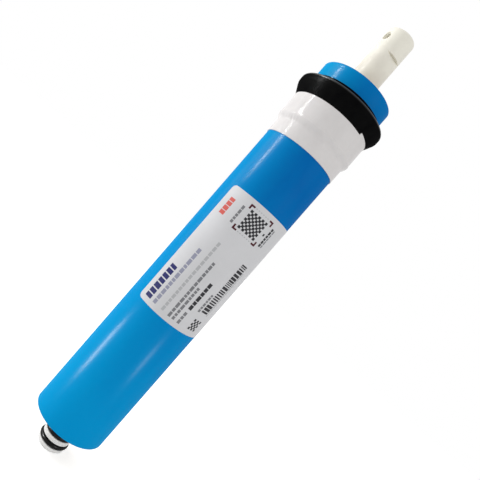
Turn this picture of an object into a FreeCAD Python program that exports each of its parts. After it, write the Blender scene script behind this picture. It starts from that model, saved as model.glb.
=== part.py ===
import FreeCAD, Part
import math
import os

# Small spiral-wound reverse-osmosis membrane element for a 50.8 mm bore housing. Millimetres.
#
# Frame: the Z axis is the element's own axis. Z = 0 is the open end of the product-water spigot,
# +Z runs towards the closed feed-end stub. "Front" is the side with the label, facing -Y.
# Angles named *_deg are turns about Z, counted from the front (-Y) towards +X.

Vec = FreeCAD.Vector
X_AXIS = Vec(1, 0, 0)
Z_AXIS = Vec(0, 0, 1)
ORIGIN = Vec(0, 0, 0)

# ---------------------------------------------------------------- driving dimensions
SPIGOT_LENGTH = 18.4
BODY_LENGTH = 240.6
STUB_LENGTH = 39.0
BODY_R = 22.25
SHELL_THICK = 0.35

BODY_START = SPIGOT_LENGTH
BODY_END = BODY_START + BODY_LENGTH
TOTAL_LENGTH = BODY_END + STUB_LENGTH

# Product-water tube: spigot, perforated core and stub in one moulding
TUBE_R = 8.5
CORE_R = 8.3
SPIGOT_BORE_R = 4.5
CORE_BORE_R = 4.2
CORE_BORE_END = BODY_END + 7.0
SPIGOT_CHAMFER = 0.8
TIP_ROUND = 1.5
PERFORATION_R = 1.25
PERFORATION_PITCH = 24.0
PERFORATION_ROWS = 9

# O-rings and their grooves
RING_SECTION_R = 1.4
RING_PROUD = 0.65
RING_CENTRE_R = TUBE_R + RING_PROUD - RING_SECTION_R
GROOVE_WIDTH = 3.2
GROOVE_R = RING_CENTRE_R - RING_SECTION_R
OUTER_RING_Z = 4.2
INNER_RING_Z = 9.9

# Features of the stub that a puller hooks into
NOTCH_WALL_Z = BODY_END + 24.6
NOTCH_DEPTH = 2.0
NOTCH_RAMP = 3.0
NOTCH_DEG = 31.9
PULL_HOLE_R = 2.2
PULL_HOLE_Z = BODY_END + 32.3
PULL_HOLE_CHAMFER = 0.4

# Wound leaf: every turn holds carrier, membrane, spacer, membrane, from the core outwards
TURNS = 7
LEAF_INSET = 0.4
TURN_PITCH = (BODY_R - SHELL_THICK - CORE_R) / TURNS
MEMBRANE_THICK = 0.22
CARRIER_TOP = 0.42
LOWER_MEMBRANE_TOP = CARRIER_TOP + MEMBRANE_THICK
SPACER_TOP = TURN_PITCH - MEMBRANE_THICK
FOLD_THICK_DEG = 1.2
STEP_DEG = 90.0
STEP_START = -STEP_DEG / 2
STEP_END = STEP_DEG / 2
STEP_SHIFT = TURN_PITCH / (2 * (1 - math.cos(math.radians(STEP_DEG / 2))))

# Brine seal
SEAL_START = BODY_END - 36.4
SKIRT_THICK = 1.55
SKIRT_LENGTH = 13.7
SEAL_R = 27.5
SEAL_LENGTH = 24.4
INNER_LEG_PAST_LIP = 2.6

# White tape that holds the seal's skirt
TAPE_START = BODY_START + 192.95
TAPE_END = BODY_START + 218.0
TAPE_THICK = 0.45
TAPE_TOP_THICK = 0.4
TAPE_STEP_START = 219.9
TAPE_STEP_END = 223.3
TAIL_DEG = 41.7
TAIL_SETTLED_DEG = 98.0
TAIL_RISE = 1.3

# Label
LABEL_START = BODY_START + 80.75
LABEL_LENGTH = 76.8
LABEL_THICK = 0.12
LABEL_FROM_DEG = -44.6
LABEL_HEIGHT = 50.8
LABEL_CORNER_R = 2.5


# ---------------------------------------------------------------- helpers
def polar(radius, angle_deg, centre=ORIGIN):
    """Point at an angle counted from +X about a centre, in the plane Z = 0."""
    angle = math.radians(angle_deg)
    return centre + Vec(radius * math.cos(angle), radius * math.sin(angle), 0)


def facing(angle_deg):
    """Unit vector that points out of the element at an angle counted from the front."""
    return polar(1.0, angle_deg - 90.0)


def profile(steps):
    """Closed face in the XZ plane. A step is (r, z), or ((r, z), (r, z)) for an arc through the first point."""
    edges = []
    here = Vec(steps[0][0], 0, steps[0][1])
    for step in steps[1:] + steps[:1]:
        if isinstance(step[0], tuple):
            middle = Vec(step[0][0], 0, step[0][1])
            there = Vec(step[1][0], 0, step[1][1])
            edges.append(Part.Arc(here, middle, there).toShape())
        else:
            there = Vec(step[0], 0, step[1])
            edges.append(Part.LineSegment(here, there).toShape())
        here = there
    return Part.Face(Part.Wire(edges))


def turned(steps):
    """Solid of revolution about Z."""
    return profile(steps).revolve(ORIGIN, Z_AXIS, 360)


def s_curve(start, end):
    """Two equal arcs from start to end, each (r, z), along Z at both ends."""
    rise_r = end[0] - start[0]
    rise_z = end[1] - start[1]
    radius = (rise_r ** 2 + rise_z ** 2) / (4 * abs(rise_r))
    side = math.copysign(radius, rise_r)
    reach = math.copysign(math.asin(abs(rise_z) / (2 * radius)) / 2, rise_z)
    sag = side * (1 - math.cos(reach))
    run = radius * math.sin(reach)
    middle = (start[0] + rise_r / 2, start[1] + rise_z / 2)
    first = (start[0] + sag, start[1] + run)
    second = (end[0] - sag, end[1] - run)
    return [(first, middle), (second, end)]


def shell(inner_r, outer_r, z_start, z_end):
    outer = Part.makeCylinder(outer_r, z_end - z_start, Vec(0, 0, z_start))
    inner = Part.makeCylinder(inner_r, z_end - z_start, Vec(0, 0, z_start))
    return outer.cut(inner)


def sector(radius, z_start, z_end, from_deg, to_deg):
    """Solid slice of a cylinder between two angles counted from the front."""
    slice_ = Part.makeCylinder(radius, z_end - z_start, Vec(0, 0, z_start), Z_AXIS, to_deg - from_deg)
    slice_.rotate(ORIGIN, Z_AXIS, from_deg - 90.0)
    return slice_


# ---------------------------------------------------------------- product-water tube
def groove_steps(centre_z):
    low = centre_z - GROOVE_WIDTH / 2
    high = centre_z + GROOVE_WIDTH / 2
    return [(TUBE_R, low), (GROOVE_R, low), (GROOVE_R, high), (TUBE_R, high)]


def tube_blank():
    round_middle = TIP_ROUND * (1 - math.cos(math.radians(45)))
    steps = [(SPIGOT_BORE_R, 0), (TUBE_R - SPIGOT_CHAMFER, 0), (TUBE_R, SPIGOT_CHAMFER)]
    steps += groove_steps(OUTER_RING_Z)
    steps += groove_steps(INNER_RING_Z)
    steps += [(TUBE_R, BODY_START + LEAF_INSET), (CORE_R, BODY_START + LEAF_INSET)]
    steps += [(CORE_R, BODY_END - LEAF_INSET), (TUBE_R, BODY_END - LEAF_INSET)]
    steps += [(TUBE_R, TOTAL_LENGTH - TIP_ROUND)]
    steps += [((TUBE_R - round_middle, TOTAL_LENGTH - round_middle), (TUBE_R - TIP_ROUND, TOTAL_LENGTH))]
    steps += [(0, TOTAL_LENGTH), (0, CORE_BORE_END), (CORE_BORE_R, CORE_BORE_END)]
    steps += [(CORE_BORE_R, BODY_START), (SPIGOT_BORE_R, BODY_START)]
    return turned(steps)


def perforations():
    """Cross holes through both walls of the core, each row turned a quarter from the last."""
    first = BODY_START + (BODY_LENGTH - (PERFORATION_ROWS - 1) * PERFORATION_PITCH) / 2
    holes = []
    for row in range(PERFORATION_ROWS):
        across = polar(1.0, 90.0 * (row % 2))
        centre = Vec(0, 0, first + row * PERFORATION_PITCH)
        holes.append(Part.makeCylinder(PERFORATION_R, 2 * TUBE_R, centre - across * TUBE_R, across))
    return holes


def pull_hole():
    """Hole across the stub, a quarter turn from the notches, with a broken edge at both mouths."""
    centre = Vec(0, 0, PULL_HOLE_Z)
    across = facing(NOTCH_DEG - 90.0)
    tools = [Part.makeCylinder(PULL_HOLE_R, 2 * TUBE_R, centre - across * TUBE_R, across)]
    wide_r = PULL_HOLE_R + PULL_HOLE_CHAMFER
    for outward in (across, across * -1):
        start = centre + outward * (TUBE_R - 2 * PULL_HOLE_CHAMFER)
        tools.append(Part.makeCone(PULL_HOLE_R, wide_r, 2 * PULL_HOLE_CHAMFER, start, outward))
    return tools


def notch(angle_deg):
    """Catch for a puller: a steep wall on the tip side, and a ramp that rises towards the body."""
    outward = facing(angle_deg)
    along = Z_AXIS.cross(outward)
    floor_r = TUBE_R - NOTCH_DEPTH
    past_r = TUBE_R + NOTCH_DEPTH
    wall_foot = outward * floor_r + Vec(0, 0, NOTCH_WALL_Z)
    wall_head = outward * past_r + Vec(0, 0, NOTCH_WALL_Z)
    ramp_head = outward * past_r + Vec(0, 0, NOTCH_WALL_Z - 2 * NOTCH_RAMP)
    side = Part.Face(Part.makePolygon([wall_foot, wall_head, ramp_head, wall_foot]))
    side.translate(along * -TUBE_R)
    return side.extrude(along * (2 * TUBE_R))


def permeate_tube():
    tools = perforations() + pull_hole() + [notch(NOTCH_DEG), notch(NOTCH_DEG + 180.0)]
    return tube_blank().cut(tools)


def o_ring(centre_z):
    return Part.makeTorus(RING_CENTRE_R, RING_SECTION_R, Vec(0, 0, centre_z), Z_AXIS)


# ---------------------------------------------------------------- wound leaf
# A sheet lies in concentric arcs for most of a turn. In the step sector it climbs one pitch over the
# edge where the leaf starts, along two tangent arcs, so that all the sheets nest with no gap.
def arc_about(centre, radius, from_deg, to_deg):
    middle = (from_deg + to_deg) / 2
    ends = [polar(radius, angle, centre) for angle in (from_deg, middle, to_deg)]
    return Part.Arc(*ends).toShape()


def winding(height, start_deg=STEP_END):
    """Edges of the curve that lies at a height above the core, from the first turn to the last."""
    climb_centre = polar(-STEP_SHIFT, STEP_START)
    settle_centre = polar(STEP_SHIFT, STEP_END)
    edges = []
    for turn in range(TURNS):
        radius = CORE_R + turn * TURN_PITCH + height
        from_deg = start_deg if turn == 0 else STEP_END
        edges.append(arc_about(ORIGIN, radius, from_deg, 360.0 + STEP_START))
        if turn < TURNS - 1:
            edges.append(arc_about(climb_centre, radius + STEP_SHIFT, STEP_START, 0.0))
            edges.append(arc_about(settle_centre, radius + TURN_PITCH - STEP_SHIFT, 0.0, STEP_END))
    return edges


def radial_edge(low, high, angle_deg, turn):
    base = CORE_R + turn * TURN_PITCH
    return Part.LineSegment(polar(base + low, angle_deg), polar(base + high, angle_deg)).toShape()


def wound_solid(edges):
    outline = Part.Wire(Part.__sortEdges__(edges))
    length = BODY_LENGTH - 2 * LEAF_INSET
    solid = Part.Face(outline).extrude(Vec(0, 0, length))
    solid.translate(Vec(0, 0, BODY_START + LEAF_INSET))
    return solid


def sheet(low, high, start_deg=STEP_END):
    """One sheet of constant thickness between two heights above the core."""
    edges = winding(low, start_deg) + winding(high, start_deg)
    edges.append(radial_edge(low, high, start_deg, 0))
    edges.append(radial_edge(low, high, 360.0 + STEP_START, TURNS - 1))
    return wound_solid(edges)


def permeate_carrier():
    return sheet(0.0, CARRIER_TOP)


def feed_spacer():
    return sheet(LOWER_MEMBRANE_TOP, SPACER_TOP, STEP_END + FOLD_THICK_DEG)


def membrane_sheet():
    """The membrane, folded in two round the spacer's first edge, so both its faces meet the feed water."""
    fold_deg = STEP_END + FOLD_THICK_DEG
    edges = winding(CARRIER_TOP) + winding(TURN_PITCH)
    edges += winding(LOWER_MEMBRANE_TOP, fold_deg) + winding(SPACER_TOP, fold_deg)
    edges.append(radial_edge(CARRIER_TOP, TURN_PITCH, STEP_END, 0))
    edges.append(radial_edge(LOWER_MEMBRANE_TOP, SPACER_TOP, fold_deg, 0))
    for low, high in ((CARRIER_TOP, LOWER_MEMBRANE_TOP), (SPACER_TOP, TURN_PITCH)):
        edges.append(radial_edge(low, high, 360.0 + STEP_START, TURNS - 1))
    return wound_solid(edges)


# ---------------------------------------------------------------- outside of the body
def outer_wrap():
    return shell(BODY_R - SHELL_THICK, BODY_R, BODY_START, BODY_END)


def brine_seal():
    """Rubber cup seal: a skirt under the tape, a flared lip, and an inner leg that runs on past the lip."""
    skirt_r = BODY_R + SKIRT_THICK
    edge = 0.5
    edge_middle = edge * (1 - math.cos(math.radians(45)))
    z = SEAL_START
    rim_z = SEAL_START + SEAL_LENGTH
    leg_r = BODY_R + 0.95
    leg_z = rim_z + INNER_LEG_PAST_LIP
    return turned([
        (BODY_R, z),
        (skirt_r - edge, z),
        ((skirt_r - edge_middle, z + edge_middle), (skirt_r, z + edge)),
        (skirt_r, z + SKIRT_LENGTH),
        (SEAL_R - 0.6, rim_z - 4.8),
        ((SEAL_R - 0.16, rim_z - 3.8), (SEAL_R, rim_z - 2.8)),
        (SEAL_R, rim_z - 1.2),
        ((SEAL_R - 0.35, rim_z - 0.35), (SEAL_R - 1.2, rim_z)),
        ((SEAL_R - 1.45, rim_z - 0.1), (SEAL_R - 1.55, rim_z - 0.35)),
        (SEAL_R - 1.7, rim_z - 3.0),
        (SEAL_R - 3.3, rim_z - 7.8),
        ((leg_r + 0.5, rim_z - 8.3), (leg_r, rim_z - 7.8)),
        (leg_r, leg_z - 0.4),
        (leg_r - 0.4, leg_z),
        (BODY_R, leg_z),
    ])


def tail_plane_tool():
    """Block above the slanted edge of the tape's last lap."""
    skirt_r = BODY_R + SKIRT_THICK
    middle_deg = (TAIL_DEG + TAIL_SETTLED_DEG) / 2
    rises = ((TAIL_DEG, TAIL_RISE), (middle_deg, TAIL_RISE / 2), (TAIL_SETTLED_DEG, 0.0))
    corners = [facing(angle) * skirt_r + Vec(0, 0, TAPE_END + rise) for angle, rise in rises]
    normal = (corners[1] - corners[0]).cross(corners[2] - corners[0])
    if normal.z < 0:
        normal = normal * -1
    size = 4 * BODY_R
    block = Part.makeBox(size, size, size, Vec(-size / 2, -size / 2, 0))
    block.Placement = FreeCAD.Placement(corners[1], FreeCAD.Rotation(Z_AXIS, normal))
    return block


def seal_tape():
    """White tape, several laps: low on the wrap, up a step, over the skirt. The last lap ends askew."""
    skirt_r = BODY_R + SKIRT_THICK
    low_r = BODY_R + TAPE_THICK
    high_r = skirt_r + TAPE_TOP_THICK
    flare = (SEAL_R - 0.6 - skirt_r) / (SEAL_LENGTH - 4.8 - SKIRT_LENGTH)
    flare_z = SEAL_START + SKIRT_LENGTH
    top_z = TAPE_END + TAIL_RISE + 0.4
    top_r = skirt_r + flare * (top_z - flare_z)
    lifted_z = SEAL_START + 0.5
    steps = [(BODY_R, TAPE_START), (low_r, TAPE_START), (low_r, TAPE_STEP_START)]
    steps += s_curve((low_r, TAPE_STEP_START), (high_r, TAPE_STEP_END))
    steps += [(high_r, TAPE_END), (top_r + TAPE_TOP_THICK, top_z), (top_r, top_z)]
    steps += [(skirt_r, flare_z), (skirt_r, lifted_z)]
    steps += s_curve((skirt_r, lifted_z), (BODY_R, TAPE_STEP_START + 0.4))
    past_top = top_z + 1.0
    settled = sector(2 * BODY_R, TAPE_END, past_top, TAIL_SETTLED_DEG, TAIL_DEG + 360.0)
    slanted = sector(2 * BODY_R, TAPE_END, past_top, TAIL_DEG, TAIL_SETTLED_DEG).common(tail_plane_tool())
    return turned(steps).cut([settled, slanted])


def corner_tool(angle_deg, centre_z, turn_side, z_side):
    """What rounding off one corner of the label takes away."""
    outward = facing(angle_deg)
    sideways = Z_AXIS.cross(outward) * turn_side
    centre = outward * (BODY_R - 1) + Vec(0, 0, centre_z)
    reach = 2 * LABEL_CORNER_R
    far_side = centre + sideways * reach
    up = Vec(0, 0, z_side * reach)
    square = Part.Face(Part.makePolygon([centre, far_side, far_side + up, centre + up, centre]))
    block = square.extrude(outward * 3)
    return block.cut(Part.makeCylinder(LABEL_CORNER_R, 3, centre, outward))


def label():
    outer_r = BODY_R + LABEL_THICK
    to_deg = LABEL_FROM_DEG + math.degrees(LABEL_HEIGHT / outer_r)
    corner_deg = math.degrees(LABEL_CORNER_R / outer_r)
    z_end = LABEL_START + LABEL_LENGTH
    blank = sector(outer_r, LABEL_START, z_end, LABEL_FROM_DEG, to_deg)
    blank = blank.cut(Part.makeCylinder(BODY_R, z_end, ORIGIN))
    tools = []
    for angle, turn_side in ((LABEL_FROM_DEG + corner_deg, -1), (to_deg - corner_deg, 1)):
        tools.append(corner_tool(angle, LABEL_START + LABEL_CORNER_R, turn_side, -1))
        tools.append(corner_tool(angle, z_end - LABEL_CORNER_R, turn_side, 1))
    return blank.cut(tools)


# ---------------------------------------------------------------- output
def sub_parts():
    return {
        "permeate_tube": permeate_tube(),
        "o_ring_outer": o_ring(OUTER_RING_Z),
        "o_ring_inner": o_ring(INNER_RING_Z),
        "permeate_carrier": permeate_carrier(),
        "membrane_sheet": membrane_sheet(),
        "feed_spacer": feed_spacer(),
        "outer_wrap": outer_wrap(),
        "brine_seal": brine_seal(),
        "seal_tape": seal_tape(),
        "label": label(),
    }


os.makedirs("parts", exist_ok=True)
for node, shape in sub_parts().items():
    solid = shape.Solids[0]
    count = len(shape.Solids)
    print(f"{node}: {count} solid, volume {shape.Volume:.1f} mm3, valid {shape.isValid()}")
    solid.exportStep(f"parts/{node}.step")
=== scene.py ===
import math
import random

import bmesh
import bpy
from mathutils import Matrix, Vector, noise

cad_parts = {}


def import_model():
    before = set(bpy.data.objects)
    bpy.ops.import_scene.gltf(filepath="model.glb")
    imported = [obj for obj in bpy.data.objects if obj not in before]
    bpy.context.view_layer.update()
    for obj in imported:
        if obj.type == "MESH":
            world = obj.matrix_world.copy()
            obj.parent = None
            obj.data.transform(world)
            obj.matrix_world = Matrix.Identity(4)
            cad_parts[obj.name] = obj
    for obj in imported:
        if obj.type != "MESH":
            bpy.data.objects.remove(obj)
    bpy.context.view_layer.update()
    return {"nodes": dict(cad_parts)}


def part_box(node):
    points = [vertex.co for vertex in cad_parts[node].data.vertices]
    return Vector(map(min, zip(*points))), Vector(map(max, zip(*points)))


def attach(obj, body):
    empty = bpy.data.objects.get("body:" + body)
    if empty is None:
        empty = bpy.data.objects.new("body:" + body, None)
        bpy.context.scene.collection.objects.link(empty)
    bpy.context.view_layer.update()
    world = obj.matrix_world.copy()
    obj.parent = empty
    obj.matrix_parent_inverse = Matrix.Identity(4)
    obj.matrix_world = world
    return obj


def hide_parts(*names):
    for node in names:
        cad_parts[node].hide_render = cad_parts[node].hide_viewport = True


# Looks of a small spiral-wound reverse-osmosis element, in metres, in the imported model's frame.
# Z is the element's axis, its front faces -Y, and every angle is counted from -Y towards +X.

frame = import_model()
MM = 0.001
INNER_LEG_PAST_LIP = 2.6 * MM

# ---------------------------------------------------------------- places taken from the frame
wrap_low, wrap_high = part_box("outer_wrap")
seal_low, seal_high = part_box("brine_seal")
tape_low, tape_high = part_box("seal_tape")
label_low, label_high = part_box("label")
tube_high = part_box("permeate_tube")[1]

BODY_R = wrap_high.x
BODY_START = wrap_low.z
BODY_END = wrap_high.z
TUBE_TOP = tube_high.z
SEAL_START = seal_low.z
SEAL_RIM = seal_high.z - INNER_LEG_PAST_LIP
TAPE_START = tape_low.z
TAPE_TOP = tape_high.z
LABEL_START = label_low.z
LABEL_END = label_high.z
LABEL_FROM = -math.radians(44.6)
LABEL_TO = math.acos(-label_high.y / BODY_R)

# ---------------------------------------------------------------- sizes of what Blender adds
FILM_THICK = 0.35 * MM
FILM_DENT = 0.05 * MM
FILM_SEAM_ANGLE = math.radians(168)
FILM_SEAM_RISE = 0.14 * MM
FILM_SEAM_FADE = math.radians(48)
EDGE_ROUND = 0.1 * MM

SKIRT_THICK = 1.55 * MM
SKIRT_LENGTH = 13.7 * MM
TAPE_THICK = 0.45 * MM
TAPE_TOP_THICK = 0.4 * MM
STEP_START = SEAL_START - 2.7 * MM
STEP_END = SEAL_START + 0.7 * MM
TAIL_RISE = 1.3 * MM
TAPE_END = TAPE_TOP - TAIL_RISE
TAIL_ANGLE = math.radians(41.7)
TAIL_SETTLED = math.radians(98)
TAIL_PROUD = 0.04 * MM
TAIL_FADE = math.radians(70)
TAPE_SETTLE = 2 * MM
TAPE_STUCK = 1.5 * MM
LIP_SLOPE = 0.53

LABEL_THICK = 0.12 * MM
LABEL_CORNER = 2.5 * MM
INK_THICK = 0.02 * MM
INK_STEP_MM = 4
INK_STEP_DEG = 2.5

SPREAD = random.Random(11)


# ---------------------------------------------------------------- geometry helpers
def place(angle, radius, height):
    return Vector((radius * math.sin(angle), -radius * math.cos(angle), height))


def ease(t):
    """Smooth step from 0 to 1."""
    t = min(1.0, max(0.0, t))
    return t * t * (3 - 2 * t)


def bump(t):
    """A smooth hill, 1 at t = 0 and 0 from t = -1 and t = 1 outwards."""
    return ease(1 - abs(t))


def steps(start, end, count):
    return [start + (end - start) * i / count for i in range(count + 1)]


def ring_angles(count, break_at, gap_deg):
    """Angles all the way round, with two close together where the outline jumps."""
    gap = math.radians(gap_deg)
    return sorted([2 * math.pi * i / count for i in range(count)] + [break_at - gap, break_at + gap / 50])


def ripple(angle, height, round_scale, along_scale, seed):
    """Smooth noise on the cylinder, about -1 to 1, with no break where the angle wraps."""
    x = math.sin(angle) * round_scale
    y = math.cos(angle) * round_scale
    return noise.noise(Vector((x + seed, y - seed, height / MM * along_scale + 3 * seed)))


def finish_mesh(name, verts, faces, material, sharp_deg=40):
    mesh = bpy.data.meshes.new(name)
    mesh.from_pydata(verts, [], faces)
    work = bmesh.new()
    work.from_mesh(mesh)
    bmesh.ops.recalc_face_normals(work, faces=work.faces)
    work.to_mesh(mesh)
    work.free()
    mesh.shade_smooth()
    mesh.set_sharp_from_angle(angle=math.radians(sharp_deg))
    piece = bpy.data.objects.new(name, mesh)
    bpy.context.scene.collection.objects.link(piece)
    mesh.materials.append(material)
    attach(piece, "root")
    return piece


def band(name, angles, profile_at, material, sharp_deg=40):
    """A closed ring round the axis. profile_at(angle) gives its (radius, height) outline there."""
    verts, faces = [], []
    for angle in angles:
        outline = profile_at(angle)
        verts += [place(angle, radius, height) for radius, height in outline]
    count = len(outline)
    for i in range(len(angles)):
        after = (i + 1) % len(angles)
        for k in range(count):
            beside = (k + 1) % count
            faces.append((i * count + k, after * count + k, after * count + beside, i * count + beside))
    return finish_mesh(name, verts, faces, material, sharp_deg)


def slab(verts, faces, angles, span_at, inner_at, outer_at, columns):
    """Adds a thin curved patch. span_at(angle) gives its lowest and highest place along the axis."""
    first = len(verts)
    row = columns + 1
    for radius_at in (inner_at, outer_at):
        for angle in angles:
            low, high = span_at(angle)
            for height in steps(low, high, columns):
                verts.append(place(angle, radius_at(angle, height), height))
    skin = len(angles) * row
    for i in range(len(angles) - 1):
        for k in range(columns):
            a = first + i * row + k
            b = a + row
            faces.append((a, a + 1, b + 1, b))
            faces.append((skin + a, skin + b, skin + b + 1, skin + a + 1))
    last = first + (len(angles) - 1) * row
    for k in range(columns):
        faces.append((first + k, first + k + skin, first + k + 1 + skin, first + k + 1))
        faces.append((last + k, last + k + 1, last + k + 1 + skin, last + k + skin))
    for i in range(len(angles) - 1):
        a = first + i * row
        b = a + columns
        faces.append((a, a + row, a + row + skin, a + skin))
        faces.append((b, b + skin, b + row + skin, b + row))


# ---------------------------------------------------------------- materials
class Nodes:
    """A material or world node tree, with short calls for the nodes used below."""

    def __init__(self, tree):
        self.tree = tree
        tree.nodes.clear()

    def add(self, kind, **settings):
        node = self.tree.nodes.new(kind)
        for key, value in settings.items():
            setattr(node, key, value)
        return node

    def link(self, out, into):
        self.tree.links.new(out, into)

    def coordinates(self, scale):
        mapping = self.add("ShaderNodeMapping")
        mapping.inputs["Scale"].default_value = scale
        self.link(self.add("ShaderNodeTexCoord").outputs["Object"], mapping.inputs["Vector"])
        return mapping.outputs["Vector"]

    def noise(self, scale, detail=4.0, rough=0.55, stretch=(1, 1, 1)):
        node = self.add("ShaderNodeTexNoise")
        node.inputs["Scale"].default_value = scale
        node.inputs["Detail"].default_value = detail
        node.inputs["Roughness"].default_value = rough
        self.link(self.coordinates(stretch), node.inputs["Vector"])
        return node.outputs["Fac"]

    def spread(self, value, low, high, from_low=0.3, from_high=0.7):
        node = self.add("ShaderNodeMapRange")
        node.inputs["From Min"].default_value = from_low
        node.inputs["From Max"].default_value = from_high
        node.inputs["To Min"].default_value = low
        node.inputs["To Max"].default_value = high
        self.link(value, node.inputs["Value"])
        return node.outputs["Result"]

    def math(self, operation, a, b):
        node = self.add("ShaderNodeMath", operation=operation)
        for socket, value in zip(node.inputs, (a, b)):
            if isinstance(value, (int, float)):
                socket.default_value = value
            else:
                self.link(value, socket)
        return node.outputs["Value"]

    def colours(self, value, *stops):
        node = self.add("ShaderNodeValToRGB")
        ramp = node.color_ramp
        while len(ramp.elements) < len(stops):
            ramp.elements.new(0.5)
        for element, (place_at, colour) in zip(ramp.elements, stops):
            element.position = place_at
            element.color = (*colour, 1)
        self.link(value, node.inputs["Fac"])
        return node.outputs["Color"]

    def mix(self, amount, first, second):
        node = self.add("ShaderNodeMix", data_type="RGBA")
        self.link(amount, node.inputs["Factor"])
        for socket, value in ((node.inputs["A"], first), (node.inputs["B"], second)):
            if isinstance(value, tuple):
                socket.default_value = (*value, 1)
            else:
                self.link(value, socket)
        return node.outputs["Result"]

    def bump(self, height, distance, strength=1.0, under=None):
        node = self.add("ShaderNodeBump")
        node.inputs["Distance"].default_value = distance
        node.inputs["Strength"].default_value = strength
        self.link(height, node.inputs["Height"])
        if under is not None:
            self.link(under, node.inputs["Normal"])
        return node.outputs["Normal"]

    def place(self, letter):
        """Place along the X, Y or Z axis."""
        parts = self.add("ShaderNodeSeparateXYZ")
        self.link(self.add("ShaderNodeTexCoord").outputs["Object"], parts.inputs["Vector"])
        return parts.outputs[letter]

    def radius(self):
        """Distance from the element's axis."""
        x, y = self.place("X"), self.place("Y")
        squares = self.math("ADD", self.math("MULTIPLY", x, x), self.math("MULTIPLY", y, y))
        return self.math("SQRT", squares, 0.0)

    def surface(self, colour, roughness, normal, level=0.5, **uniform):
        shader = self.add("ShaderNodeBsdfPrincipled")
        shader.inputs["Specular IOR Level"].default_value = level
        for key, value in uniform.items():
            shader.inputs[key.replace("_", " ")].default_value = value
        self.link(colour, shader.inputs["Base Color"])
        self.link(roughness, shader.inputs["Roughness"])
        self.link(normal, shader.inputs["Normal"])
        self.link(shader.outputs["BSDF"], self.add("ShaderNodeOutputMaterial").inputs["Surface"])
        return shader


def material(name):
    made = bpy.data.materials.new(name)
    made.use_nodes = True
    return made, Nodes(made.node_tree)


def srgb(red, green, blue):
    """A colour as it shows on a screen, 0 to 255, as the linear values that shaders take."""
    return tuple((c / 255 / 12.92) if c < 10.3 else ((c / 255 + 0.055) / 1.055) ** 2.4
                 for c in (red, green, blue))


def blue_film():
    """Painted shade makes the blue darker towards the feed end, and painted light makes it lighter on its -X
    side, where the key light stands.
    """
    made, n = material("blue_film")
    cloudy = n.spread(n.noise(38, stretch=(1, 1, 0.35)), -0.08, 0.08)
    along = n.math("ADD", n.spread(n.place("Z"), 0.0, 1.0, BODY_START, BODY_END), cloudy)
    # Painted shade: the first ramp is the shaded blue and the second the painted lit blue; both darken
    # towards the feed end and lift a little at its very end.
    painted_shade_blue = n.colours(along, (0.1, srgb(0, 147, 208)), (0.45, srgb(0, 123, 191)),
                     (0.75, srgb(0, 101, 174)), (0.97, srgb(0, 111, 180)))
    light = n.colours(along, (0.1, srgb(0, 149, 207)), (0.45, srgb(0, 140, 202)),
                      (0.75, srgb(0, 134, 195)), (0.97, srgb(0, 144, 200)))
    # Painted light: the lit blue on the -X side, where the key light stands, and the shaded blue towards +X.
    colour = n.mix(n.spread(n.place("X"), 0.0, 1.0, -0.8 * BODY_R, 0.1 * BODY_R), light, painted_shade_blue)
    scuffs = n.noise(900, detail=6, stretch=(1, 1, 0.06))
    roughness = n.spread(scuffs, 0.2, 0.3)
    orange_peel = n.bump(n.noise(420, detail=2), 0.006 * MM, 0.5)
    drawn = n.bump(n.noise(60, detail=3, stretch=(1, 1, 0.12)), 0.05 * MM, 0.5, orange_peel)
    n.surface(colour, roughness, drawn, level=0.0, Coat_Weight=0.07, Coat_Roughness=0.24)
    return made


def white_tape():
    made, n = material("white_tape")
    cloudy = n.noise(120, detail=5)
    colour = n.colours(cloudy, (0.3, srgb(213, 210, 209)), (0.7, srgb(219, 216, 215)))
    roughness = n.spread(n.noise(700), 0.1, 0.17)
    stretch_lines = n.bump(n.noise(420, detail=5, stretch=(0.25, 0.25, 1.6)), 0.05 * MM, 0.55)
    puckers = n.bump(n.noise(150, detail=3, stretch=(1.4, 1.4, 0.5)), 0.08 * MM, 0.5, stretch_lines)
    n.surface(colour, roughness, puckers, level=0.022)
    return made


def black_rubber(name, dark, light, smooth, rough, coat, rim_coat):
    """Moulded rubber. The lip's rim is polished by handling, so it has a coat of its own."""
    made, n = material(name)
    cloudy = n.noise(160, detail=6)
    colour = n.colours(cloudy, (0.32, srgb(*dark)), (0.7, srgb(*light)))
    roughness = n.spread(n.noise(640, detail=5), smooth, rough)
    grain = n.bump(n.noise(1500, detail=4), 0.03 * MM, 0.5)
    flow = n.bump(n.noise(140, detail=3, stretch=(1, 1, 2.5)), 0.1 * MM, 0.4, grain)
    shader = n.surface(colour, roughness, flow, level=0.0, Coat_Roughness=0.3)
    at_rim = n.spread(n.place("Z"), 0.0, 1.0, SEAL_RIM - 1.4 * MM, SEAL_RIM - 0.8 * MM)
    on_lip = n.spread(n.radius(), 0.0, 1.0, BODY_R + 2.5 * MM, BODY_R + 3 * MM)
    weight = n.spread(n.math("MULTIPLY", at_rim, on_lip), coat, rim_coat, 0.0, 1.0)
    n.link(weight, shader.inputs["Coat Weight"])
    return made


def ivory_plastic():
    made, n = material("ivory_plastic")
    cloudy = n.spread(n.noise(90, detail=5), -0.03, 0.03)
    along = n.math("ADD", n.spread(n.place("Z"), 0.0, 1.0, 0.0, TUBE_TOP), cloudy)
    # Painted light: the product-end spigot, at the bottom where the tube stands on the floor, is nearly
    # white. Along the tube the colour darkens towards the feed end and turns lighter again near the top of
    # the stub.
    colour = n.colours(along, (0.05, srgb(241, 241, 240)), (0.2, srgb(228, 225, 216)),
                       (0.88, srgb(219, 214, 203)), (0.97, srgb(236, 233, 221)))
    roughness = n.spread(n.noise(520, detail=5), 0.34, 0.5)
    texture = n.bump(n.noise(1300, detail=4), 0.025 * MM, 0.6)
    sinks = n.bump(n.noise(70, detail=2, stretch=(1, 1, 0.4)), 0.12 * MM, 0.5, texture)
    n.surface(colour, roughness, sinks, level=0.08)
    return made


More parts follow.
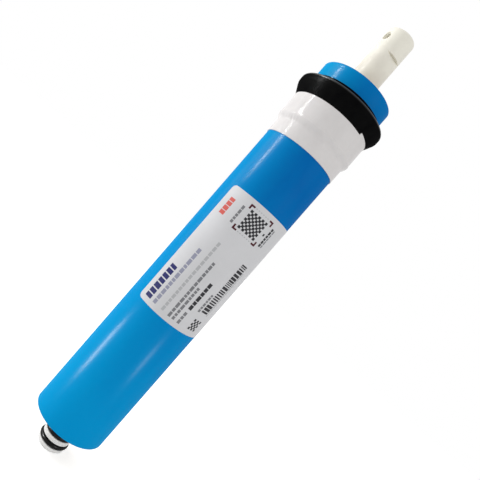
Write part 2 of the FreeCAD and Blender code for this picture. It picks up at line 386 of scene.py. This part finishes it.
def label_film():
    made, n = material("label_paper")
    cloudy = n.noise(45, detail=3)
    colour = n.colours(cloudy, (0.3, srgb(205, 205, 207)), (0.7, srgb(211, 211, 213)))
    roughness = n.spread(n.noise(800, detail=4), 0.42, 0.55)
    fibre = n.bump(n.noise(1100, detail=5), 0.012 * MM, 0.5)
    n.surface(colour, roughness, fibre, level=0.08)
    return made


def ink(name, colour, fade=0.05):
    made, n = material(name)
    base = srgb(*colour)
    pale = tuple(c + (0.8 - c) * fade for c in base)
    shade = n.colours(n.noise(2600, detail=3), (0.35, base), (0.75, pale))
    n.surface(shade, n.spread(n.noise(900), 0.38, 0.52), n.bump(n.noise(1800), 0.004 * MM, 0.4), level=0.08)
    return made


def sheet_end(name, dark, light, glue, strand_scale):
    """A wound sheet: layered across its thickness, with adhesive soaked in near the ends."""
    made, n = material(name)
    fibres = n.noise(strand_scale, detail=6, stretch=(1, 1, 0.3))
    cloth = n.colours(fibres, (0.3, srgb(*dark)), (0.7, srgb(*light)))
    near_end = n.spread(n.place("Z"), 1.0, 0.0, BODY_START + 1 * MM, BODY_START + 26 * MM)
    far_end = n.spread(n.place("Z"), 0.0, 1.0, BODY_END - 26 * MM, BODY_END - 1 * MM)
    patches = n.spread(n.noise(130, detail=4), 0.15, 1.0, 0.4, 0.62)
    soaked = n.math("MULTIPLY", n.math("MAXIMUM", near_end, far_end), patches)
    colour = n.mix(soaked, cloth, srgb(*glue))
    weave = n.bump(n.noise(2200, detail=5), 0.06 * MM, 0.7)
    layers = n.bump(n.noise(900, detail=2), 0.08 * MM, 0.5, weave)
    n.surface(colour, n.spread(fibres, 0.5, 0.8), layers, level=0.3)
    return made


FINISHES = {
    "tube_plastic": ivory_plastic(),
    "ring_rubber": black_rubber("ring_rubber_gloss", (6, 6, 7), (14, 14, 15), 0.18, 0.34, 0.25, 0.25),
    "seal_rubber": black_rubber("seal_rubber_satin", (8, 8, 9), (15, 15, 15), 0.5, 0.65, 0.02, 0.8),
    "carrier_cloth": sheet_end("carrier_cloth_tan", (196, 178, 140), (222, 209, 176), (176, 128, 62), 1800),
    "membrane_film": sheet_end("membrane_film_white", (220, 217, 206), (238, 236, 228),
                               (206, 184, 138), 700),
    "spacer_net": sheet_end("spacer_net_grey", (168, 172, 170), (206, 210, 208), (182, 160, 116), 1400),
    "wrap_film": blue_film(),
    "tape_vinyl": white_tape(),
    "label_film": label_film(),
}
INKS = {
    "navy": ink("ink_navy", (30, 34, 96)),
    "slate": ink("ink_slate", (146, 148, 166)),
    "faint": ink("ink_faint", (178, 179, 181)),
    "grey": ink("ink_grey", (122, 123, 126)),
    "dark": ink("ink_dark", (44, 44, 48)),
    "red": ink("ink_red", (206, 92, 84)),
    "maroon": ink("ink_maroon", (72, 14, 28)),
}


# ---------------------------------------------------------------- film round the wound leaf
def film_dent(angle, height):
    """How far the film lies below its true radius: slow hollows over the leaf's turns."""
    wide = ripple(angle, height, 1.5, 0.013, 4.3)
    fine = ripple(angle, height, 4.2, 0.028, 9.1)
    return FILM_DENT * (0.5 + 0.36 * wide + 0.14 * fine)


def film_lift(angle):
    """The film's last lap lies on the lap before, so one edge stands up along the back."""
    past = (angle - FILM_SEAM_ANGLE) % (2 * math.pi)
    return FILM_SEAM_RISE * ease(1 - past / FILM_SEAM_FADE)


def film_r(angle, height):
    return BODY_R - film_dent(angle, height)


def film_edge(angle, height, inwards):
    """The rounded corner at one end of the film, from the end face to the outside."""
    edge_r = film_r(angle, height) + film_lift(angle) - EDGE_ROUND
    return [(edge_r, height), (edge_r + 0.7 * EDGE_ROUND, height + inwards * 0.3 * EDGE_ROUND)]


def film_profile(angle):
    heights = steps(BODY_START + EDGE_ROUND, BODY_END - EDGE_ROUND, 96)
    outline = [(film_r(angle, height) + film_lift(angle), height) for height in heights]
    outline += reversed(film_edge(angle, BODY_END, -1))
    outline += [(BODY_R - FILM_THICK, BODY_END), (BODY_R - FILM_THICK, BODY_START)]
    outline += film_edge(angle, BODY_START, 1)
    return outline


def wrap_piece():
    angles = ring_angles(240, FILM_SEAM_ANGLE, 0.15)
    piece = band("wrap_film", angles, film_profile, FINISHES["wrap_film"], 30)
    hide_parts("outer_wrap")


# ---------------------------------------------------------------- tape over the seal's skirt
def tape_base(height):
    """The tape's outer radius without its wrinkles: on the film, up a step, over the skirt."""
    low_r = BODY_R + TAPE_THICK
    high_r = BODY_R + SKIRT_THICK + TAPE_TOP_THICK
    radius = low_r + (high_r - low_r) * ease((height - STEP_START) / (STEP_END - STEP_START))
    flare_start = SEAL_START + SKIRT_LENGTH
    return radius + max(0.0, height - flare_start) * LIP_SLOPE


def tape_floor(height):
    """What the tape lies on."""
    start = STEP_START + 0.4 * MM
    skirt_r = BODY_R + SKIRT_THICK * ease((height - start) / (SEAL_START + 0.5 * MM - start))
    return skirt_r + max(0.0, height - SEAL_START - SKIRT_LENGTH) * LIP_SLOPE


def tail_lift(angle):
    """The last lap lies on the one before, and its end stands proud of it."""
    past = (angle - TAIL_ANGLE) % (2 * math.pi)
    return TAIL_PROUD * ease(1 - past / TAIL_FADE)


def tape_wrinkle(angle, height):
    step_middle = (STEP_START + STEP_END) / 2
    gathers = ripple(angle, height, 9.0, 0.05, 2.7) + 0.6 * ripple(angle, height, 19.0, 0.08, 6.4)
    at_step = bump((height - step_middle) / (6 * MM))
    ridge = bump((height - STEP_END - 0.3 * MM) / (0.9 * MM))
    broad = ripple(angle, height, 3.0, 0.12, 8.8)
    crimps = ripple(angle, height, 26.0, 0.25, 1.9)
    rise = 0.13 * gathers * at_step + (0.2 + 0.12 * broad) * ridge + 0.05 * broad + 0.02 * crimps
    return rise * MM


def tape_top(angle):
    past = (angle - TAIL_ANGLE) / (TAIL_SETTLED - TAIL_ANGLE)
    if not 0 <= past <= 1:
        return TAPE_END
    return TAPE_END + TAIL_RISE * (1 - past)


def tape_profile(angle):
    top = tape_top(angle)
    heights = steps(TAPE_START + EDGE_ROUND, STEP_START, 12)
    heights += steps(STEP_START, STEP_END + TAPE_SETTLE, 20)[1:]
    heights += steps(STEP_END + TAPE_SETTLE, top - EDGE_ROUND, 16)[1:]
    outer = []
    for height in heights:
        stuck_down = 0.6 * bump((height - TAPE_START) / TAPE_STUCK)
        lift = tape_wrinkle(angle, height) * (1 - stuck_down) + tail_lift(angle)
        outer.append((tape_base(height) + lift - film_dent(angle, height), height))
    outline = [(outer[0][0] - EDGE_ROUND, TAPE_START)] + outer
    outline.append((outer[-1][0] - EDGE_ROUND, top))
    outline += [(tape_floor(height), height) for height in steps(top, TAPE_START, 24)]
    return outline


def tape_piece():
    angles = ring_angles(480, TAIL_ANGLE, 0.1)
    piece = band("tape", angles, tape_profile, FINISHES["tape_vinyl"], 40)
    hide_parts("seal_tape")


# ---------------------------------------------------------------- label and its print
def label_inner(angle, height):
    return film_r(angle, height)


def label_outer(angle, height):
    return film_r(angle, height) + LABEL_THICK


def ink_outer(angle, height):
    return label_outer(angle, height) + INK_THICK


def label_span(angle):
    """The label's reach along the axis at an angle, shorter where its corners are round."""
    edge = min(angle - LABEL_FROM, LABEL_TO - angle) * (BODY_R + LABEL_THICK)
    inset = 0.0
    if edge < LABEL_CORNER:
        inset = LABEL_CORNER - math.sqrt(max(0.0, LABEL_CORNER ** 2 - (LABEL_CORNER - edge) ** 2))
    return LABEL_START + inset, LABEL_END - inset


def label_piece():
    corner = LABEL_CORNER / (BODY_R + LABEL_THICK)
    arc = [corner * (1 - math.cos(math.radians(9 * i))) for i in range(10)]
    angles = [LABEL_FROM + a for a in arc]
    angles += steps(LABEL_FROM + corner, LABEL_TO - corner, 72)[1:-1]
    angles += [LABEL_TO - a for a in reversed(arc)]
    verts, faces = [], []
    slab(verts, faces, angles, label_span, label_inner, label_outer, 48)
    piece = finish_mesh("label_sheet", verts, faces, FINISHES["label_film"], 30)
    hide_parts("label")


class Print:
    """Blocks of one ink on the label. x is in mm from the label's low end, deg is counted from the front."""

    def __init__(self, name, colour):
        self.name, self.colour = name, colour
        self.verts, self.faces = [], []

    def block(self, x_from, x_to, deg_from, deg_to):
        low, high = LABEL_START + x_from * MM, LABEL_START + x_to * MM
        rows = max(1, math.ceil((deg_to - deg_from) / INK_STEP_DEG))
        angles = [math.radians(a) for a in steps(deg_from, deg_to, rows)]
        columns = max(1, math.ceil((x_to - x_from) / INK_STEP_MM))
        slab(self.verts, self.faces, angles, lambda angle: (low, high), label_outer, ink_outer, columns)

    def words(self, x_from, x_to, deg_from, deg_to, shortest, longest, gap):
        """A line of plain dashes of mixed length where a line of print would be."""
        x = x_from
        while x < x_to - shortest:
            end = min(x + SPREAD.uniform(shortest, longest), x_to)
            self.block(x, end, deg_from, deg_to)
            x = end + gap

    def checker(self, x_from, x_to, deg_from, deg_to, cells, fill):
        """A regular chequered field. fill is how much of its cell each dark block takes, 1 or more."""
        wide, tall = (x_to - x_from) / cells, (deg_to - deg_from) / cells
        half_x, half_deg = wide * fill / 2, tall * fill / 2
        for i in range(cells):
            for k in range(i % 2, cells, 2):
                x, deg = x_from + (i + 0.5) * wide, deg_from + (k + 0.5) * tall
                self.block(x - half_x, x + half_x, deg - half_deg, deg + half_deg)

    def corner(self, x, deg, x_side, deg_side):
        """One corner of a frame, as two bars that meet at x, deg."""
        for reach_x, reach_deg in ((2.8, 2.6), (1.0, 7.0)):
            self.block(*sorted((x, x + reach_x * x_side)), *sorted((deg, deg + reach_deg * deg_side)))

    def done(self):
        finish_mesh(self.name, self.verts, self.faces, INKS[self.colour])


def label_print():
    """Plain blocks in the colours of a printed label. A line is x from, x to, deg from, deg to, then the
    shortest dash, the longest dash and the gap."""
    heading = Print("print_heading", "navy")
    heading.words(3.0, 24.6, -36.4, -25.6, 1.9, 3.0, 0.7)
    heading.done()

    second = Print("print_second_line", "slate")
    second.words(3.0, 39.8, -20.6, -15.4, 1.6, 3.4, 0.5)
    second.done()

    faint = Print("print_faint_lines", "faint")
    faint.words(3.2, 48.6, -5.6, -1.6, 1.8, 3.2, 0.5)
    faint.words(14.0, 45.0, 55.4, 57.6, 1.6, 3.0, 0.4)
    for x in (58.5, 73.5):
        for deg in range(3, 27, 4):
            faint.block(x, x + 0.5, deg, deg + 2)
    faint.done()

    grey = Print("print_grey_lines", "grey")
    grey.words(2.9, 38.8, 6.2, 10.2, 1.4, 3.2, 0.45)
    grey.words(3.0, 24.6, 13.0, 16.8, 1.4, 3.0, 0.45)
    grey.words(2.9, 10.6, 22.0, 26.2, 1.6, 2.6, 0.45)
    grey.words(14.0, 25.4, 35.6, 39.2, 1.2, 2.2, 0.4)
    grey.words(60.0, 72.2, -13.2, -9.4, 1.2, 2.4, 0.4)
    grey.words(60.2, 71.8, 45.0, 47.2, 1.4, 2.4, 0.4)
    grey.done()

    dark = Print("print_dark_lines", "dark")
    dark.words(12.2, 29.6, 21.8, 27.0, 2.0, 3.2, 0.4)
    dark.words(60.0, 71.8, 39.8, 43.4, 1.4, 2.4, 0.35)
    dark.block(65.4, 66.8, 34.0, 36.4)
    dark.done()

    stripes = Print("print_stripes", "dark")
    x = 14.9
    while x < 48.0:
        width = SPREAD.choice((0.55, 0.85, 1.15, 1.6))
        stripes.block(x, min(x + width, 48.6), 41.6, 54.0)
        x += width + SPREAD.choice((0.4, 0.55, 0.7))
    stripes.done()

    squares = Print("print_squares", "dark")
    squares.checker(3.5, 10.0, 42.0, 57.0, 5, 1.12)
    squares.checker(60.4, 71.8, -0.4, 28.6, 9, 1.2)
    squares.done()

    corners = Print("print_corners", "maroon")
    for x, x_side in ((58.2, 1), (74.2, -1)):
        corners.corner(x, -5.8, x_side, 1)
        corners.corner(x, 35.2, x_side, -1)
    corners.done()

    red = Print("print_red", "red")
    red.words(60.2, 72.4, -34.4, -26.0, 1.8, 2.6, 0.4)
    red.done()


# ---------------------------------------------------------------- CAD nodes keep their shape
NODE_FINISHES = {
    "permeate_tube": "tube_plastic",
    "o_ring_outer": "ring_rubber",
    "o_ring_inner": "ring_rubber",
    "brine_seal": "seal_rubber",
    "permeate_carrier": "carrier_cloth",
    "membrane_sheet": "membrane_film",
    "feed_spacer": "spacer_net",
}


def dress_nodes():
    for name, slot in NODE_FINISHES.items():
        node = frame["nodes"][name]
        node.data.materials.clear()
        node.data.materials.append(FINISHES[slot])


# ---------------------------------------------------------------- stage, lights and camera
def background_rays(n):
    """1 for the rays that show the background: seen straight, mirrored or through glass."""
    path = n.add("ShaderNodeLightPath")
    mirrored = n.math("MAXIMUM", path.outputs["Is Glossy Ray"], path.outputs["Is Transmission Ray"])
    return n.math("MAXIMUM", path.outputs["Is Camera Ray"], mirrored)


def world():
    made = bpy.data.worlds.new("studio")
    bpy.context.scene.world = made
    made.use_nodes = True
    n = Nodes(made.node_tree)
    ambient, white = n.add("ShaderNodeBackground"), n.add("ShaderNodeBackground")
    ambient.inputs["Color"].default_value = (1.0, 1.0, 1.0, 1)
    ambient.inputs["Strength"].default_value = 0.8
    white.inputs["Strength"].default_value = 1.0
    white.inputs["Color"].default_value = (1, 1, 1, 1)
    choose = n.add("ShaderNodeMixShader")
    n.link(background_rays(n), choose.inputs["Fac"])
    n.link(ambient.outputs["Background"], choose.inputs[1])
    n.link(white.outputs["Background"], choose.inputs[2])
    n.link(choose.outputs["Shader"], n.add("ShaderNodeOutputWorld").inputs["Surface"])


def floor():
    made, n = material("floor_white")
    matte = n.add("ShaderNodeBsdfDiffuse")
    matte.inputs["Color"].default_value = (0.82, 0.82, 0.82, 1)
    glow = n.add("ShaderNodeEmission")
    n.link(n.math("MULTIPLY", background_rays(n), 0.5), glow.inputs["Strength"])
    both = n.add("ShaderNodeAddShader")
    n.link(matte.outputs["BSDF"], both.inputs[0])
    n.link(glow.outputs["Emission"], both.inputs[1])
    n.link(both.outputs["Shader"], n.add("ShaderNodeOutputMaterial").inputs["Surface"])
    half = 4.0
    mesh = bpy.data.meshes.new("floor")
    corners = [(-half, -half, 0), (half, -half, 0), (half, half, 0), (-half, half, 0)]
    mesh.from_pydata(corners, [], [(0, 1, 2, 3)])
    mesh.materials.append(made)
    piece = bpy.data.objects.new("floor", mesh)
    bpy.context.scene.collection.objects.link(piece)


def lamp(name, angle_deg, distance, low, high, width, radiance, highlight_only=False):
    """An upright strip of light beside the element, facing its axis. A highlight_only lamp shows only in
    reflections."""
    data = bpy.data.lights.new(name, "AREA")
    data.shape = "RECTANGLE"
    data.size, data.size_y = width, high - low
    data.energy = radiance * math.pi * width * (high - low)
    made = bpy.data.objects.new(name, data)
    bpy.context.scene.collection.objects.link(made)
    made.location = place(math.radians(angle_deg), distance, (low + high) / 2)
    inwards = Vector((-made.location.x, -made.location.y, 0))
    made.rotation_euler = inwards.to_track_quat("-Z", "Y").to_euler()
    made.visible_camera = False
    made.visible_diffuse = not highlight_only
    return made


def lights():
    # name, angle, distance, lowest, highest, width, radiance
    lamp("key", -95, 1.0, 0.02, 1.02, 0.5, 4.2)
    lamp("fill", 60, 1.1, 0.02, 1.02, 0.6, 0.7)
    lamp("feed_top", -100, 0.5, 0.2, 0.4, 0.2, 2.0)
    lamp("streak_low", -66, 0.13, 0.004, 0.052, 0.016, 150, highlight_only=True)
    lamp("streak_high", -72, 0.13, 0.2, 0.33, 0.012, 150, highlight_only=True)
    lamp("streak_right", 48, 0.13, 0.03, 0.056, 0.016, 50, highlight_only=True)


def camera():
    """Level with the element's middle, rolled so that the feed end leans up to the right."""
    data = bpy.data.cameras.new("camera")
    data.sensor_width = 36
    data.lens = 35.126
    data.shift_x = 0.0567
    made = bpy.data.objects.new("camera", data)
    bpy.context.scene.collection.objects.link(made)
    made.location = Vector((0, -0.2605, 0.1508))
    forward = Vector((-0.02165, 0.99959, -0.01882)).normalized()
    up = Vector((-0.65645, 0.0, 0.75437))
    right = forward.cross(up).normalized()
    made.rotation_euler = Matrix((right, right.cross(forward), -forward)).transposed().to_euler()
    bpy.context.scene.camera = made


dress_nodes()
wrap_piece()
tape_piece()
label_piece()
label_print()
world()
floor()
lights()
camera()
bpy.context.scene.view_settings.view_transform = "Standard"
